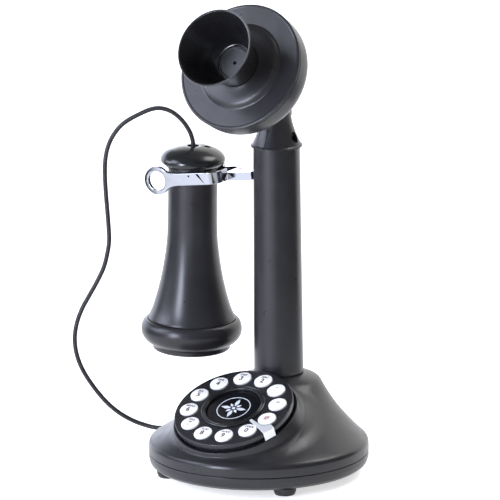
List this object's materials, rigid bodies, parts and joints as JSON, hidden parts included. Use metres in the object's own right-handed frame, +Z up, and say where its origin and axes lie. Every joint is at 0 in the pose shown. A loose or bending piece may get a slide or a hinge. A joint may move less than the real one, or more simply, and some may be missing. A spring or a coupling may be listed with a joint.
{
  "type": "candlestick telephone",
  "caption": "Candlestick desk telephone with a tilting horn transmitter, a hanging receiver on a forked hook, and a round push-button dial on a flared base.",
  "frame": {"origin": "on the surface the telephone stands on, under the middle of its outline seen from above, with the free cord left out", "axes": "+Z up along the post; -Y to the front, where the dial faces; -X towards the hook and the receiver"},
  "size_m": [0.2098, 0.1465, 0.3226],
  "materials": {
    "satin_shell": "satin black moulded plastic",
    "gloss_trim": "glossier black moulded plastic",
    "dial_plastic": "semi-gloss black moulded plastic",
    "chrome_plate": "bright chrome plating",
    "steel": "plain steel, hidden or recessed",
    "white_key": "white plastic with printed numerals",
    "black_rubber": "black rubber",
    "circuit_board": "green laminate board",
    "grey_rubber": "grey silicone keypad sheet",
    "cord_braid": "braided black cord"
  },
  "bodies": {
    "stand": {"base_shell": "satin_shell", "base_plate": "satin_shell", "post_tube": "satin_shell", "neck_half_left": "satin_shell", "neck_half_right": "satin_shell", "centre_disc": "gloss_trim", "sounder": "gloss_trim", "hook_switch": "gloss_trim", "number_plate": "dial_plastic", "centre_bezel": "dial_plastic", "line_jack": "dial_plastic", "finger_stop": "chrome_plate", "ballast_weight": "steel", "post_nut": "steel", "neck_screw": "steel", "tilt_pin": "steel", "hook_pin": "steel", "hook_bracket": "steel", "hook_spring": "steel", "base_screw_1": "steel", "base_screw_2": "steel", "base_screw_3": "steel", "base_screw_4": "steel", "cord_grommet": "black_rubber", "foot_1": "black_rubber", "foot_2": "black_rubber", "foot_3": "black_rubber", "foot_4": "black_rubber", "main_board": "circuit_board", "keypad_board": "circuit_board", "keypad_membrane": "grey_rubber"},
    "hook": {"hook_lever": "chrome_plate"},
    "receiver": {"receiver_shell": "satin_shell", "receiver_cap": "gloss_trim", "cap_screw": "steel", "ear_cap": "gloss_trim", "receiver_speaker": "steel", "receiver_bush": "black_rubber", "receiver_cord": "cord_braid"},
    "transmitter": {"back_cup": "satin_shell", "faceplate": "satin_shell", "mouthpiece_horn": "gloss_trim", "throat_disc": "satin_shell", "microphone": "steel"},
    "key_1": {"button_1": "white_key"},
    "key_2": {"button_2": "white_key"},
    "key_3": {"button_3": "white_key"},
    "key_4": {"button_4": "white_key"},
    "key_5": {"button_5": "white_key"},
    "key_6": {"button_6": "white_key"},
    "key_7": {"button_7": "white_key"},
    "key_8": {"button_8": "white_key"},
    "key_9": {"button_9": "white_key"},
    "key_0": {"button_0": "white_key"},
    "key_hash": {"button_hash": "white_key"},
    "key_star": {"button_star": "white_key"}
  },
  "joints": [
    {"name": "receiver_lift_off", "type": "slide", "parent": "stand", "child": "receiver", "axis": [-0.9397, 0, 0.342], "range_m": [0, 0.065]},
    {"name": "hook_switch_lever", "type": "hinge", "parent": "stand", "child": "hook", "pos_m": [0.0143, 0.027, 0.199], "axis": [0, 1, 0], "range_deg": [0, 7.1], "deforming": ["hook_spring"]},
    {"name": "transmitter_tilt", "type": "hinge", "parent": "stand", "child": "transmitter", "pos_m": [0.0143, 0.027, 0.2533], "axis": [1, 0, 0], "range_deg": [-20, 30]},
    {"name": "key_1_press", "type": "slide", "parent": "stand", "child": "key_1", "axis": [0, 0.4099, -0.9121], "range_m": [0, 0.0015], "stiffness_N_per_m": 300, "springref_m": -0.0005},
    {"name": "key_2_press", "type": "slide", "parent": "stand", "child": "key_2", "axis": [0, 0.4099, -0.9121], "range_m": [0, 0.0015], "stiffness_N_per_m": 300, "springref_m": -0.0005},
    {"name": "key_3_press", "type": "slide", "parent": "stand", "child": "key_3", "axis": [0, 0.4099, -0.9121], "range_m": [0, 0.0015], "stiffness_N_per_m": 300, "springref_m": -0.0005},
    {"name": "key_4_press", "type": "slide", "parent": "stand", "child": "key_4", "axis": [0, 0.4099, -0.9121], "range_m": [0, 0.0015], "stiffness_N_per_m": 300, "springref_m": -0.0005},
    {"name": "key_5_press", "type": "slide", "parent": "stand", "child": "key_5", "axis": [0, 0.4099, -0.9121], "range_m": [0, 0.0015], "stiffness_N_per_m": 300, "springref_m": -0.0005},
    {"name": "key_6_press", "type": "slide", "parent": "stand", "child": "key_6", "axis": [0, 0.4099, -0.9121], "range_m": [0, 0.0015], "stiffness_N_per_m": 300, "springref_m": -0.0005},
    {"name": "key_7_press", "type": "slide", "parent": "stand", "child": "key_7", "axis": [0, 0.4099, -0.9121], "range_m": [0, 0.0015], "stiffness_N_per_m": 300, "springref_m": -0.0005},
    {"name": "key_8_press", "type": "slide", "parent": "stand", "child": "key_8", "axis": [0, 0.4099, -0.9121], "range_m": [0, 0.0015], "stiffness_N_per_m": 300, "springref_m": -0.0005},
    {"name": "key_9_press", "type": "slide", "parent": "stand", "child": "key_9", "axis": [0, 0.4099, -0.9121], "range_m": [0, 0.0015], "stiffness_N_per_m": 300, "springref_m": -0.0005},
    {"name": "key_0_press", "type": "slide", "parent": "stand", "child": "key_0", "axis": [0, 0.4099, -0.9121], "range_m": [0, 0.0015], "stiffness_N_per_m": 300, "springref_m": -0.0005},
    {"name": "key_hash_press", "type": "slide", "parent": "stand", "child": "key_hash", "axis": [0, 0.4099, -0.9121], "range_m": [0, 0.0015], "stiffness_N_per_m": 300, "springref_m": -0.0005},
    {"name": "key_star_press", "type": "slide", "parent": "stand", "child": "key_star", "axis": [0, 0.4099, -0.9121], "range_m": [0, 0.0015], "stiffness_N_per_m": 300, "springref_m": -0.0005}
  ],
  "couplings": [
    {"joint": "hook_switch_lever", "follows": "receiver_lift_off", "rad_per_m": 1.8796}
  ]
}
